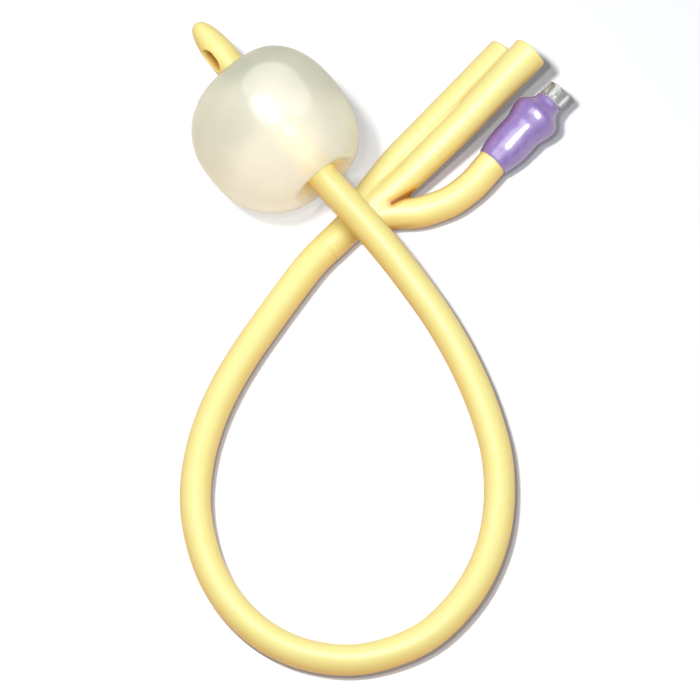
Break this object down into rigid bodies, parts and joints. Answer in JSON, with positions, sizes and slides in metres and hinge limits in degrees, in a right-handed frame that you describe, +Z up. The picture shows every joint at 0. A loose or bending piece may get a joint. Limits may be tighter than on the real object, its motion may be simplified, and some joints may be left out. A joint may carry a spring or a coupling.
{
  "type": "foley urinary catheter",
  "caption": "Balloon urinary catheter lying in a loose loop, with a filled balloon, an eyed rounded tip, a branched funnel head and a sprung inflation valve in a purple sleeve.",
  "frame": {"origin": "on the table, under the middle of the box round the head, the balloon and the tip", "axes": "+Z up from the table, +Y along the funnels towards their open ends, +X towards the inflation valve's side"},
  "size_m": [0.1451, 0.1554, 0.0366],
  "materials": {
    "latex": "siliconised natural latex, satin",
    "balloon_film": "stretched latex film, milky and glossy",
    "purple_coat": "dipped coating, glossy",
    "clear_plastic": "moulded clear polycarbonate",
    "white_plastic": "moulded acetal",
    "seal_rubber": "moulded black rubber",
    "spring_steel": "drawn stainless wire"
  },
  "bodies": {
    "catheter": {"shaft_tube": "latex", "funnel_head": "latex", "drainage_tip": "latex", "retention_balloon": "balloon_film", "size_colour_sleeve": "purple_coat", "valve_housing": "clear_plastic", "valve_spigot": "white_plastic", "valve_spring": "spring_steel"},
    "plunger": {"valve_plunger": "white_plastic", "valve_seal": "seal_rubber"}
  },
  "joints": [
    {"name": "plunger_press", "type": "slide", "parent": "catheter", "child": "plunger", "axis": [0, -0.9949, -0.1011], "range_m": [0, 0.0018], "stiffness_N_per_m": 150, "springref_m": -0.0015, "deforming": ["valve_spring"]}
  ]
}
